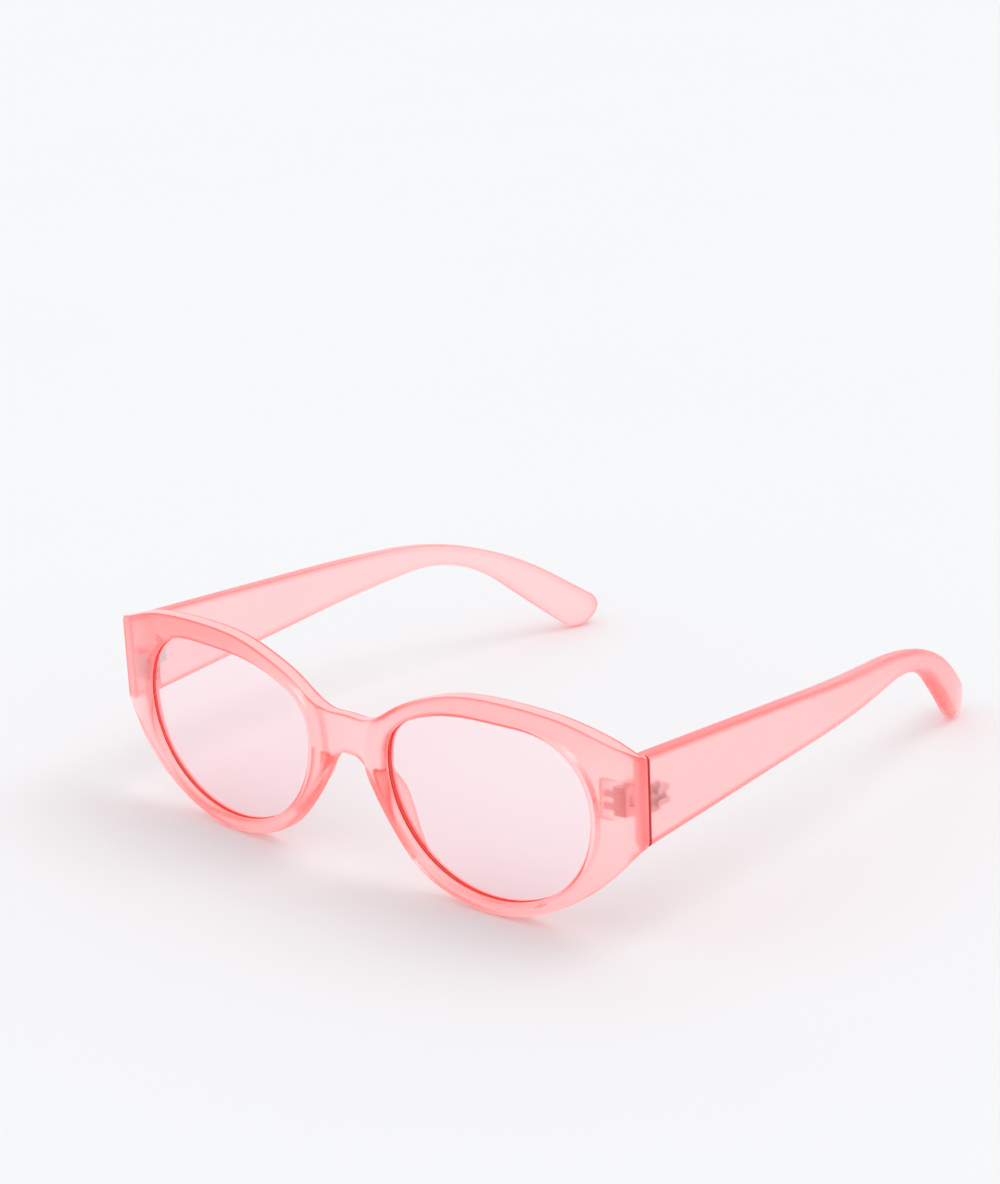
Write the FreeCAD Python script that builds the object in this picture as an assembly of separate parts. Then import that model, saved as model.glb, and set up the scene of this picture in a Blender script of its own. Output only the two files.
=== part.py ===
import FreeCAD, Part
import math
import os
from FreeCAD import Vector as V

# Cat eye sunglasses, millimetres, standing open on a table on the rims and the temple tips.
# +Y runs from the front to the temple tips and +Z is up, so +X is the right-hand side for someone
# who faces the front. While modelling, Y = 0 is the front of the bridge and Z = 0 the table. Every
# part is moved back along Y at the end, so that the origin is under the middle of the box.

# Front
HALF_WIDTH = 69.7          # bridge centre to the outside of an end piece
BRIDGE_TOP = 33.0          # height of the bridge's top edge over the table
FRONT_RADIUS = 650.0       # gentle wrap of the front, seen from above
SWEEP_START = 57.0         # where the end pieces start to sweep back
SWEEP_RADIUS = 34.0
RIM_DEPTH = 4.2            # front to back of the rims
FRONT_LEAN = 1.0           # degrees that the front leans back
BUTT_Y = 8.0               # back face of the end pieces, where the temples butt
CORNER_ROUND = 3.0         # lower outer corner of the end pieces
UPPER_CORNER_ROUND = 0.8
BUTT_STEP = 7.0            # how far outwards the end piece reaches its full depth
BEYOND = 40.0              # cutting blocks reach past the front by more than enough

# Lenses
LENS_THICKNESS = 1.8
LENS_SETBACK = 1.5         # front of the rim to the front of the lens
GROOVE_DEPTH = 0.8         # how far the lens edge reaches into the rim
FIT_GAP = 0.05             # room around a seated piece

# Temples
TEMPLE_THICKNESS = 3.8
STRAIGHT_END = 60.0        # the temples run straight back to here, then curve inwards
INWARD_RADIUS = 190.0
JOINT_GAP = 0.25           # end piece to temple butt

# Hinges
HINGE_X = 63.9
HINGE_Y = 9.7
HINGE_Z = 28.5
KNUCKLE_RADIUS = 1.3
KNUCKLE_HEIGHT = 1.9
KNUCKLE_GAP = 0.1
LEAF_THICKNESS = 1.1
LEAF_HEIGHT = 5.7
PRONG_HEIGHT = 1.25
PRONG_SPREAD = 3.7         # both prongs of a leaf, outside to outside
SCREW_RADIUS = 0.65
SCREW_CLEARANCE = 0.05
BOSS_HEIGHT = 8.0
PLATE_INNER_X = 62.6       # front leaf: plate, then prongs, towards the lens
PRONG_INNER_X = 60.5
LEAF_SINK = 0.9            # how deep the front leaf is set into the boss
TEMPLE_INNER_X = HALF_WIDTH - TEMPLE_THICKNESS
TEMPLE_SINK = 0.6          # how deep the temple leaf is set into the temple
TEMPLE_PLATE_END = 13.1    # temple leaf: plate, then a narrower tongue, towards the tip
TEMPLE_TONGUE_END = 14.9
TEMPLE_PRONG_START = 11.6  # two prongs from the plate and the tongue anchor it in the plastic
TEMPLE_PRONG_DEPTH = 1.6
SCREW_REACH = 6.1
SCREW_HEAD_RADIUS = 1.15
SCREW_HEAD_HEIGHT = 0.5
SLOT_WIDTH = 0.35
SLOT_DEPTH = 0.25
BOSS_INNER_X = 59.6

# Bridge
SADDLE_RADIUS = 26.0       # shallow upright hollow in the front of the bridge
SADDLE_DEPTH = 0.6

# Nose pads: sections from the top down (root x, tip x, tip y, z above the bridge top)
PAD_SECTIONS = [(5.5, 8.4, 5.3, -9.9), (6.9, 9.8, 7.4, -13.9), (8.5, 11, 7.5, -16.5),
                (10, 12.6, 6.9, -18.9), (11.7, 14.1, 6.2, -21.1), (15.1, 17, 5.2, -25.2)]
PAD_ROOT_WIDTH = 2.2
PAD_TIP_WIDTH = 1.4

# Temples, side view (z above the bridge top, angles downwards from level)
TEMPLE_TOP = 4.95
TEMPLE_BOTTOM = -12.9
TOP_SLOPE = math.radians(5.2)
TEMPLE_TOP_RUN = 76.0
TOP_BEND_RADIUS = 86.0
TOP_TAIL_SLOPE = math.radians(36.5)
BOTTOM_SLOPE = math.radians(-3.07)
TEMPLE_BOTTOM_RUN = 81.0
BOTTOM_BEND_RADIUS = 34.0
BOTTOM_TAIL_SLOPE = math.radians(41.5)
TIP_HEEL = (138.6, 6.2)    # tip: top corner, lowest stretch and front corner (y, z over the table)
TIP_MIDDLE = (137.0, 1.7)
TIP_TOE = (130.6, 0.6)
HEEL_ROUND = 2.2
TOE_ROUND = 3.0
PLAN_TURN = math.radians(30)

# Right half of the front's outline, from the bridge outwards along the top (x, z above bridge top)
BROW = [(0, 0), (5, 0), (8.5, 1.3), (14, 4.8), (20, 7.5), (28, 9.9), (38, 10.8), (48, 10.55),
        (58, 9.1), (64, 7.1), (HALF_WIDTH, 5.2)]
# and back to the bridge along the bottom
LOWER_CORNER = (HALF_WIDTH, -12.5)
UNDERSIDE = [LOWER_CORNER, (66, -16.3), (60.8, -21.7), (53, -27.5), (44, -31.6), (35, -33), (26, -31.7),
             (18, -28.1), (12, -21.9), (7.4, -15.2), (4.9, -11), (2.8, -8.9), (0, -8.5)]
# Opening of the right rim, a closed smooth curve from its lowest point round past the bridge
OPENING = [(35, -30.15), (22, -26.8), (13.2, -18), (10.4, -8), (11.8, -1.5), (18.5, 3.2), (28.5, 5.75),
           (40, 6.15), (50.5, 5), (56.8, 0.2), (59.4, -8.5), (56.9, -18.4), (48.3, -26.8)]
OPENING_MIDDLE = (35, -12)
GROWN_POINTS = 40          # points along the opening's curve where it is grown outwards


def front_y(x):
    """Front surface of the rims, seen from above."""
    return x * x / (2 * FRONT_RADIUS)


def spline(points, start, end):
    """Smooth curve through points, with the directions that it starts and ends in."""
    curve = Part.BSplineCurve()
    curve.interpolate(Points=[V(*p) for p in points], InitialTangent=V(*start).normalize(),
                      FinalTangent=V(*end).normalize(), Scale=False)
    return curve


def ring(points):
    """Closed smooth curve that runs level towards the bridge at its first point, the lowest."""
    level = (-1, 0, 0)
    return spline(points + points[:1], level, level)


def mirrored(shape):
    return shape.mirror(V(0, 0, 0), V(1, 0, 0))


def upright(points, y=0.0):
    """Outline points (x, z above the bridge top) as points in an upright plane."""
    return [(x, y, z + BRIDGE_TOP) for x, z in points]


def lean(shape):
    """Leans a front piece back about the level line through the middles of the butt faces."""
    tilted = shape.copy()
    tilted.rotate(V(0, BUTT_Y, HINGE_Z), V(1, 0, 0), -FRONT_LEAN)
    return tilted


def butt_y(z):
    """Front face of a temple, which keeps an even gap to the leaning end piece."""
    return BUTT_Y + JOINT_GAP + (z - HINGE_Z) * math.tan(math.radians(FRONT_LEAN))


def front_blank():
    """Outline of the whole front as a block, front to back."""
    brow = upright(BROW, -BEYOND)
    under = upright(UNDERSIDE, -BEYOND)
    half = [spline(brow, (1, 0, 0), (1, 0, -0.3)).toShape(),
            Part.LineSegment(V(*brow[-1]), V(*under[0])).toShape(),
            spline(under, (-0.8, 0, -0.8), (-1, 0, 0)).toShape()]
    wire = Part.Wire(Part.__sortEdges__(half + [mirrored(edge) for edge in half]))
    return Part.Face(wire).extrude(V(0, 2 * BEYOND, 0))


def sweep_end():
    """End of the swept front curve at the outside of the end piece, and the curve's middle."""
    slope = SWEEP_START / FRONT_RADIUS
    centre = V(SWEEP_START - SWEEP_RADIUS * math.sin(slope), front_y(SWEEP_START)
               + SWEEP_RADIUS * math.cos(slope), 0)
    reach = math.asin((HALF_WIDTH - centre.x) / SWEEP_RADIUS)
    middle = (slope + reach) / 2

    def at(angle):
        return centre + V(SWEEP_RADIUS * math.sin(angle), -SWEEP_RADIUS * math.cos(angle), 0)

    return at(reach), at(middle)


def front_slab():
    """The front's thickness seen from above: a gentle wrap with swept end pieces."""
    corner, sweep_middle = sweep_end()
    start = V(SWEEP_START, front_y(SWEEP_START), 0)
    back_start = V(SWEEP_START, front_y(SWEEP_START) + RIM_DEPTH, 0)
    butt_inner = V(SWEEP_START + BUTT_STEP, BUTT_Y, 0)
    butt_outer = V(HALF_WIDTH, BUTT_Y, 0)
    half = [Part.Arc(V(0, 0, 0), V(SWEEP_START / 2, front_y(SWEEP_START / 2), 0), start).toShape(),
            Part.Arc(start, sweep_middle, corner).toShape(),
            Part.LineSegment(corner, butt_outer).toShape(),
            Part.LineSegment(butt_outer, butt_inner).toShape(),
            Part.LineSegment(butt_inner, back_start).toShape(),
            Part.Arc(back_start, V(SWEEP_START / 2, front_y(SWEEP_START / 2) + RIM_DEPTH, 0),
                     V(0, RIM_DEPTH, 0)).toShape()]
    wire = Part.Wire(Part.__sortEdges__(half + [mirrored(edge) for edge in half]))
    return from_below(Part.Face(wire))


def grown_opening(growth):
    """Opening's curve grown outwards by an even amount, in an upright plane ahead of the front."""
    base = ring(upright(OPENING, -BEYOND))
    if growth == 0:
        return base.toShape()
    middle = V(*upright([OPENING_MIDDLE], -BEYOND)[0])
    points = []
    for i in range(GROWN_POINTS):
        t = base.FirstParameter + (base.LastParameter - base.FirstParameter) * i / GROWN_POINTS
        tangent = base.tangent(t)[0]
        normal = V(tangent.z, 0, -tangent.x)
        here = base.value(t)
        if normal.dot(here - middle) < 0:
            normal = -normal
        points.append(here + normal * growth)
    return ring(points).toShape()


def opening_block(growth):
    face = Part.Face(Part.Wire([grown_opening(growth)]))
    return face.extrude(V(0, 2 * BEYOND, 0))


def from_below(face):
    """Level face as a block from well under the front to well over it."""
    block = face.extrude(V(0, 0, BRIDGE_TOP + 2 * BEYOND))
    block.translate(V(0, 0, -BEYOND))
    return block


def wrapped_layer(front, back):
    """Layer of the front between two depths, following its gentle wrap."""
    reach = HALF_WIDTH
    edges = []
    for depth, sign in ((front, 1), (back, -1)):
        a = V(-reach * sign, front_y(reach) + depth, 0)
        b = V(reach * sign, front_y(reach) + depth, 0)
        edges.append(Part.Arc(a, V(0, depth, 0), b).toShape())
    a, b = edges
    edges.append(Part.LineSegment(a.Vertexes[1].Point, b.Vertexes[0].Point).toShape())
    edges.append(Part.LineSegment(b.Vertexes[1].Point, a.Vertexes[0].Point).toShape())
    return from_below(Part.Face(Part.Wire(Part.__sortEdges__(edges))))


def leaf_plate(x0, x1, y0, y1, z_low, height):
    return Part.makeBox(x1 - x0, y1 - y0, height, V(x0, y0, z_low))


def knuckle(index):
    """One of the three knuckles, counted from the bottom, as a solid cylinder."""
    pitch = KNUCKLE_HEIGHT + KNUCKLE_GAP
    low = HINGE_Z + (index - 1) * pitch - KNUCKLE_HEIGHT / 2
    return Part.makeCylinder(KNUCKLE_RADIUS, KNUCKLE_HEIGHT, V(HINGE_X, HINGE_Y, low))


def knuckle_web(index, x0, x1, y0, y1):
    """Metal between a knuckle and its leaf, as tall as the knuckle."""
    pitch = KNUCKLE_HEIGHT + KNUCKLE_GAP
    low = HINGE_Z + (index - 1) * pitch - KNUCKLE_HEIGHT / 2
    return leaf_plate(x0, x1, y0, y1, low, KNUCKLE_HEIGHT)


def screw_bore(radius):
    return Part.makeCylinder(radius, 2 * BOSS_HEIGHT, V(HINGE_X, HINGE_Y, HINGE_Z - BOSS_HEIGHT))


def prong_levels():
    """Lower faces of a leaf's two prongs."""
    low = HINGE_Z - PRONG_SPREAD / 2
    return low, low + PRONG_SPREAD - PRONG_HEIGHT


def front_hinge_leaf():
    """Leaf set into the end piece: a plate with two prongs, and the two outer knuckles."""
    low = HINGE_Z - LEAF_HEIGHT / 2
    y0 = BUTT_Y - LEAF_SINK
    y1 = y0 + LEAF_THICKNESS
    leaf = leaf_plate(PLATE_INNER_X, HINGE_X + KNUCKLE_RADIUS, y0, y1, low, LEAF_HEIGHT)
    for level in prong_levels():
        leaf = leaf.fuse(leaf_plate(PRONG_INNER_X, PLATE_INNER_X, y0, y1, level, PRONG_HEIGHT))
    for index in (0, 2):
        leaf = leaf.fuse(knuckle(index))
        leaf = leaf.fuse(knuckle_web(index, HINGE_X - KNUCKLE_RADIUS, HINGE_X + KNUCKLE_RADIUS, y1, HINGE_Y))
    return leaf.cut(screw_bore(SCREW_RADIUS)).removeSplitter()


def temple_hinge_leaf():
    """Leaf set into the temple: a plate with a tongue and two prongs, and the middle knuckle."""
    low = HINGE_Z - LEAF_HEIGHT / 2
    x0 = TEMPLE_INNER_X - LEAF_THICKNESS + TEMPLE_SINK
    x1 = x0 + LEAF_THICKNESS
    leaf = leaf_plate(x0, x1, HINGE_Y, TEMPLE_PLATE_END, low, LEAF_HEIGHT)
    leaf = leaf.fuse(leaf_plate(x0, x1, TEMPLE_PLATE_END, TEMPLE_TONGUE_END, prong_levels()[0], PRONG_SPREAD))
    for level in prong_levels():
        leaf = leaf.fuse(leaf_plate(x1, x1 + TEMPLE_PRONG_DEPTH, TEMPLE_PRONG_START, TEMPLE_TONGUE_END,
                                    level, PRONG_HEIGHT))
    leaf = leaf.fuse(knuckle(1))
    leaf = leaf.fuse(knuckle_web(1, HINGE_X, x1, HINGE_Y, HINGE_Y + KNUCKLE_RADIUS))
    return leaf.cut(screw_bore(SCREW_RADIUS + SCREW_CLEARANCE)).removeSplitter()


def hinge_screw():
    """Slotted screw through the three knuckles, its head on the top one."""
    low = HINGE_Z - SCREW_REACH / 2
    top = HINGE_Z + 1.5 * KNUCKLE_HEIGHT + KNUCKLE_GAP
    shank = Part.makeCylinder(SCREW_RADIUS, top - low, V(HINGE_X, HINGE_Y, low))
    head = Part.makeCylinder(SCREW_HEAD_RADIUS, SCREW_HEAD_HEIGHT, V(HINGE_X, HINGE_Y, top))
    slot = leaf_plate(HINGE_X - 2 * SCREW_HEAD_RADIUS, HINGE_X + 2 * SCREW_HEAD_RADIUS,
                      HINGE_Y - SLOT_WIDTH / 2, HINGE_Y + SLOT_WIDTH / 2,
                      top + SCREW_HEAD_HEIGHT - SLOT_DEPTH, SCREW_HEAD_HEIGHT)
    return shank.fuse(head).cut(slot).removeSplitter()


def hinge_boss():
    """Raised block behind the end piece that the front leaf is set into."""
    y0 = front_y(BOSS_INNER_X) + RIM_DEPTH / 2
    return leaf_plate(BOSS_INNER_X, HINGE_X + KNUCKLE_RADIUS, y0, BUTT_Y,
                      HINGE_Z - BOSS_HEIGHT / 2, BOSS_HEIGHT)


def right_lens():
    blank = opening_block(GROOVE_DEPTH - FIT_GAP)
    return blank.common(wrapped_layer(LENS_SETBACK, LENS_SETBACK + LENS_THICKNESS))


def right_groove():
    blank = opening_block(GROOVE_DEPTH)
    return blank.common(wrapped_layer(LENS_SETBACK - FIT_GAP, LENS_SETBACK + LENS_THICKNESS + FIT_GAP))


def along_y(edge, x, z, tolerance=0.01):
    ends = [vertex.Point for vertex in edge.Vertexes]
    return all(abs(abs(p.x) - x) < tolerance and abs(p.z - z) < tolerance for p in ends)


def along_x(edge, corner, tolerance=0.01):
    y, z = corner
    ends = [vertex.Point for vertex in edge.Vertexes]
    return all(abs(p.y - y) < tolerance and abs(p.z - z) < tolerance for p in ends)


def front_body():
    """Whole moulded front, upright, with its hinge bosses, both openings and the lens grooves."""
    boss = hinge_boss()
    body = front_blank().common(front_slab()).fuse(boss).fuse(mirrored(boss)).removeSplitter()
    for solid in (opening_block(0), right_groove()):
        body = body.cut(solid).cut(mirrored(solid))
    lower = [e for e in body.Edges if along_y(e, HALF_WIDTH, BRIDGE_TOP + LOWER_CORNER[1])]
    body = body.makeFillet(CORNER_ROUND, lower)
    upper = [e for e in body.Edges if along_y(e, HALF_WIDTH, BRIDGE_TOP + BROW[-1][1])]
    body = body.makeFillet(UPPER_CORNER_ROUND, upper)
    saddle = Part.makeCylinder(SADDLE_RADIUS, BRIDGE_TOP + BEYOND, V(0, SADDLE_DEPTH - SADDLE_RADIUS, 0))
    return body.cut(saddle).removeSplitter()


def right_nose_pad(front):
    """Curved flange behind the rim that rests on the side of the nose."""
    sections = []
    for x_root, x_tip, y_tip, z in PAD_SECTIONS:
        width = PAD_ROOT_WIDTH
        level = BRIDGE_TOP + z
        y_root = RIM_DEPTH - 1
        a = V(x_root, y_root, level)
        tip_inner = V(x_tip - PAD_TIP_WIDTH / 2, y_tip - PAD_TIP_WIDTH / 2, level)
        tip = V(x_tip, y_tip, level)
        tip_outer = V(x_tip + PAD_TIP_WIDTH / 2, y_tip - PAD_TIP_WIDTH / 2, level)
        b = V(x_root + width, y_root, level)
        edges = [Part.LineSegment(a, tip_inner).toShape(), Part.Arc(tip_inner, tip, tip_outer).toShape(),
                 Part.LineSegment(tip_outer, b).toShape(), Part.LineSegment(b, a).toShape()]
        sections.append(Part.Wire(edges))
    return Part.makeLoft(sections, True, False).cut(front)


def temple_side():
    """Side view of a temple as a face in the Y-Z plane: tall at the hinge, a narrow neck, a paddle tip."""

    def bend(start, radius, heading, last):
        """Points halfway along and at the end of an arc that turns down from one heading to the next."""
        def at(angle):
            return start + V(0, radius * (math.sin(heading + angle) - math.sin(heading)),
                             -radius * (math.cos(heading) - math.cos(heading + angle)))
        turn = last - heading
        return at(turn / 2), at(turn)

    top_front = V(0, butt_y(BRIDGE_TOP + TEMPLE_TOP), BRIDGE_TOP + TEMPLE_TOP)
    top_end = top_front + V(0, TEMPLE_TOP_RUN, -TEMPLE_TOP_RUN * math.tan(TOP_SLOPE))
    top_mid, top_out = bend(top_end, TOP_BEND_RADIUS, TOP_SLOPE, TOP_TAIL_SLOPE)
    bottom_front = V(0, butt_y(BRIDGE_TOP + TEMPLE_BOTTOM), BRIDGE_TOP + TEMPLE_BOTTOM)
    bottom_end = bottom_front + V(0, TEMPLE_BOTTOM_RUN, -TEMPLE_BOTTOM_RUN * math.tan(BOTTOM_SLOPE))
    bottom_mid, bottom_out = bend(bottom_end, BOTTOM_BEND_RADIUS, BOTTOM_SLOPE, BOTTOM_TAIL_SLOPE)
    heel = V(0, TIP_HEEL[0], TIP_HEEL[1])
    toe = V(0, TIP_TOE[0], TIP_TOE[1])
    toe_mid = V(0, TIP_MIDDLE[0], TIP_MIDDLE[1])
    edges = [Part.LineSegment(top_front, top_end).toShape(), Part.Arc(top_end, top_mid, top_out).toShape(),
             Part.LineSegment(top_out, heel).toShape(), Part.Arc(heel, toe_mid, toe).toShape(),
             Part.LineSegment(toe, bottom_out).toShape(),
             Part.Arc(bottom_out, bottom_mid, bottom_end).toShape(),
             Part.LineSegment(bottom_end, bottom_front).toShape(),
             Part.LineSegment(bottom_front, top_front).toShape()]
    return Part.Face(Part.Wire(Part.__sortEdges__(edges)))


def temple_plan():
    """Seen from above: straight and parallel, then curving inwards at an even thickness."""
    y0 = 0
    outer = HALF_WIDTH
    inner = HALF_WIDTH - TEMPLE_THICKNESS
    centre = V(outer - TEMPLE_THICKNESS / 2 - INWARD_RADIUS, STRAIGHT_END, 0)

    def curve(radius):
        def at(angle):
            return centre + V(radius * math.cos(angle), radius * math.sin(angle), 0)
        return Part.Arc(at(0), at(PLAN_TURN / 2), at(PLAN_TURN)).toShape()

    outside = curve(INWARD_RADIUS + TEMPLE_THICKNESS / 2)
    inside = curve(INWARD_RADIUS - TEMPLE_THICKNESS / 2)
    edges = [outside, inside,
             Part.LineSegment(V(outer, y0, 0), outside.Vertexes[0].Point).toShape(),
             Part.LineSegment(V(inner, y0, 0), inside.Vertexes[0].Point).toShape(),
             Part.LineSegment(outside.Vertexes[1].Point, inside.Vertexes[1].Point).toShape(),
             Part.LineSegment(V(inner, y0, 0), V(outer, y0, 0)).toShape()]
    return Part.Face(Part.Wire(Part.__sortEdges__(edges)))


def right_temple():
    side = temple_side().extrude(V(2 * HALF_WIDTH, 0, 0))
    side = side.makeFillet(HEEL_ROUND, [e for e in side.Edges if along_x(e, TIP_HEEL)])
    side = side.makeFillet(TOE_ROUND, [e for e in side.Edges if along_x(e, TIP_TOE)])
    return side.common(from_below(temple_plan()))


def build():
    """Every node by name, in the modelling frame."""
    leaf = front_hinge_leaf()
    temple_leaf = temple_hinge_leaf()
    upright_front = front_body()
    front = lean(upright_front).cut(leaf).cut(mirrored(leaf))
    pad = right_nose_pad(upright_front)
    temple = right_temple().cut(temple_leaf)
    nodes = {"front_frame": front}
    pairs = {"lens": lean(right_lens()), "nose_pad": lean(pad), "front_hinge_leaf": leaf,
             "hinge_screw": hinge_screw(), "temple": temple, "temple_hinge_leaf": temple_leaf}
    for name, shape in pairs.items():
        nodes[name + "_right"] = shape
        nodes[name + "_left"] = mirrored(shape)
    return nodes


def main():
    os.makedirs("parts", exist_ok=True)
    nodes = build()
    box = Part.makeCompound(list(nodes.values())).BoundBox
    shift = V(0, -(box.YMin + box.YMax) / 2, -box.ZMin)
    for name, shape in nodes.items():
        shape.translate(shift)
        shape.exportStep("parts/" + name + ".step")
        print(name, shape.isValid(), len(shape.Solids), round(shape.Volume, 1))
    print("box", box, "shift", shift)


main()
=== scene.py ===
import math

import bmesh
import bpy
import numpy as np
from mathutils import Matrix, Vector


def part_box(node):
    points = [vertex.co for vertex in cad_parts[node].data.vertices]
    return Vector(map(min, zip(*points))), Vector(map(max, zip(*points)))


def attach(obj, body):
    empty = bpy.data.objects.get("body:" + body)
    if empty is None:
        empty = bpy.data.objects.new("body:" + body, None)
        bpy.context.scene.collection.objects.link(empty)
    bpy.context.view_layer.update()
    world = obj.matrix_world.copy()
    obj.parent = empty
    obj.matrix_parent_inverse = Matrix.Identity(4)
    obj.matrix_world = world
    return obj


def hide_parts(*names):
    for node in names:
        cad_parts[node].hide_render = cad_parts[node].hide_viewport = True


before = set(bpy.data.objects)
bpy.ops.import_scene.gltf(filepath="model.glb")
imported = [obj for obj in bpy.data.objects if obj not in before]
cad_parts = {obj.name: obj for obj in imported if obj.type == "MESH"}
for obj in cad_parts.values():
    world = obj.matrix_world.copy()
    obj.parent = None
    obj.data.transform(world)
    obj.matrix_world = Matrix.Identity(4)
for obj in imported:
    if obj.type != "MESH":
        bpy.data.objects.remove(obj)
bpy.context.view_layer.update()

# Lengths are in millimetres in the modelling frame of the CAD source: Y = 0 is the front of the
# bridge and Z = 0 the table. A hinge screw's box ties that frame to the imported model.
MM = 0.001
HINGE_Y = 9.7
HINGE_Z = 28.5
SCREW_REACH = 6.1
SCREW_LOW, SCREW_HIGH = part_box("hinge_screw_right")
SHIFT_Y = (SCREW_LOW.y + SCREW_HIGH.y) / 2 / MM - HINGE_Y
SHIFT_Z = SCREW_LOW.z / MM - (HINGE_Z - SCREW_REACH / 2)

BRIDGE_TOP = 33.0
HALF_WIDTH = 69.7
FRONT_RADIUS = 650.0
SWEEP_START = 57.0
SWEEP_RADIUS = 34.0
RIM_DEPTH = 4.2
FRONT_LEAN = math.radians(1.0)
BUTT_Y = 8.0
BUTT_X = 64.0
JOINT_GAP = 0.25

# Right half of the front, seen from the front: x and height above the bridge's top
BROW = [(0, 0), (5, 0), (8.5, 1.3), (14, 4.8), (20, 7.5), (28, 9.9), (38, 10.8), (48, 10.55), (58, 9.1),
        (64, 7.1), (69.7, 5.2)]
UNDERSIDE = [(69.7, -12.5), (66, -16.3), (60.8, -21.7), (53, -27.5), (44, -31.6), (35, -33), (26, -31.7),
             (18, -28.1), (12, -21.9), (7.4, -15.2), (4.9, -11), (2.8, -8.9), (0, -8.5)]
OPENING = [(35, -30.15), (22, -26.8), (13.2, -18), (10.4, -8), (11.8, -1.5), (18.5, 3.2), (28.5, 5.75),
           (40, 6.15), (50.5, 5), (56.8, 0.2), (59.4, -8.5), (56.9, -18.4), (48.3, -26.8), (35, -30.15)]
UPPER_CORNER_REACH = 0.6
LOWER_CORNER_REACH = 1.3

# Rounding where the front meets its edges, and how far in the deepest rounding reaches
BROW_ROUND = 0.35
UNDER_ROUND = 1.25
SIDE_ROUND = 1.0
OPENING_ROUND = 0.95
BACK_BROW_ROUND = 1.5
BACK_UNDER_ROUND = 1.1
BACK_SIDE_ROUND = 0.35
BACK_OPENING_ROUND = 0.5
ROUND_STEPS = [1 - math.cos(math.radians(a)) for a in (0, 18, 36, 54, 72, 90)]
EDGE_BAND = 1.4
EDGE_ROWS = (0, 0.05, 0.15, 0.4, 0.65, 0.85, 0.95, 1)

# Bridge: how far its face is set back, where that starts and ends, and the shallow saddle in its middle
RECESS = 0.5
RECESS_FROM = 4.4
RECESS_BLEND = 1.6
BRIDGE_REACH = 11.5
BRIDGE_BLEND = 2
SADDLE = 0.3
SADDLE_HALF = 6

# Hinge boss behind each end piece, and the nose pads' sections (root x, tip x, tip y, height)
BOSS_X = (59.6, 65.2)
BOSS_Y = (6.2, 7.98)
BOSS_Z = (24.5, 32.5)
BOSS_BEVEL = 0.45
PAD_SECTIONS = [(5.5, 8.4, 5.3, -9.9), (6.9, 9.8, 7.4, -13.9), (8.5, 11, 7.5, -16.5),
                (10, 12.6, 6.9, -18.9), (11.7, 14.1, 6.2, -21.1), (15.1, 17, 5.2, -25.2)]
PAD_ROOT_WIDTH = 2.2
PAD_TIP_RADIUS = 0.7
PAD_END_ROUND = 1.6
PAD_END_REACH = 0.45

LENS_SETBACK = 1.5
LENS_THICKNESS = 1.8
LENS_MIDDLE = (35.0, -12.0)
LENS_BEVEL = 0.12
GROOVE_DEPTH = 0.8
FIT_GAP = 0.05

# Temple seen from the side. The butt's corners are heights above the bridge's top. Each long line has a
# straight run, that run's slope, the bend's radius and the slope after the bend, downwards and in degrees.
# The tip's points are distance behind the bridge's front and height above the table.
BUTT_TOP = 4.95
BUTT_LOW = -12.9
UPPER_LINE = (76, 5.2, 86, 36.5)
LOWER_LINE = (81, -3.07, 34, 41.5)
HEEL = (138.6, 6.2)
TIP_MIDDLE = (137.0, 1.7)
TOE = (130.6, 0.6)
HEEL_REACH = 1.9
TOE_REACH = 2.4

# Temple seen from above, and the rounding of its long edges, which grows towards the paddle
TEMPLE_THICKNESS = 3.8
STRAIGHT_END = 60.0
INWARD_RADIUS = 190.0
BUTT_ROUND = 0.4
EDGE_RADIUS = 1.0
EDGE_RADIUS_GAIN = 0.8
PADDLE_START = 70
PADDLE_BLEND = 50

# Mesh density: points per span of a curve and per rounded corner, the spans from the middle of the front to
# where a rim begins, the spacing along a rim, finer near its corners, and the columns of temple and lens
SPAN_STEPS = 40
BEND_STEPS = 12
SEAM_SPANS = 2
CORNER_SPACING = ((1.6, 0.3), (4, 0.7))
RIM_SPACING = 1.1
RIM_TAIL = 1.3
NEAREST_SHARE = 0.8
BUTT_BAND = 0.5
TEMPLE_BAND = 1.6
TEMPLE_RUN = 134.0
TIP_RUN = 130
TEMPLE_COLUMNS = 75
TIP_COLUMNS = 14
LENS_COLUMNS = 161

# Camera: the point it aims at, where it stands round that point, its roll and its focal length
AIM = Vector((46.2 * MM, SHIFT_Y * MM, 67.6 * MM))
AZIMUTH = 41.93
ELEVATION = 19.39
ROLL = -3.22
DISTANCE = 530.3 * MM
SENSOR = 36.0
FOCAL = 105.95
SHIFT_X = -0.0115

# Studio: an even sky, a soft sun and a pale floor
SKY = (0.88, 0.895, 0.915)
FLOOR_TONE = 0.93
FLOOR_VARIATION = 0.006
FLOOR_HALF = 3.0
KEY_POWER = 0.45
KEY_ANGLE = 0.6
KEY_DIRECTION = (-0.5, -0.6, -1.2)

# Colours of the frosted plastic: where it is flat, the painted shade along its ridges, and the painted
# shade near the top of the front
PALE = (1.0, 0.935, 0.93)
PAINTED_RIDGE_SHADE = (1.0, 0.22, 0.16)
# Painted shade: the front's pale colour deepens towards its top between these two heights, in millimetres.
TOP_SHADE = (1.0, 0.76, 0.74)
TOP_SHADE_FROM = 30.5
TOP_SHADE_TO = 42.0
# Painted light: a paler, less clear copy of the plastic for the top edges of the front and the temples'
# butts, and its ridge colour
LIT_PINK = (1.0, 0.59, 0.58)
LIT_RIDGE_SHADE = (1.0, 0.52, 0.48)
PAD_PINK = (1.0, 0.72, 0.70)
GROOVE_RED = (0.95, 0.045, 0.025)
GROOVE_DARK = (0.8, 0.03, 0.015)
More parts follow.
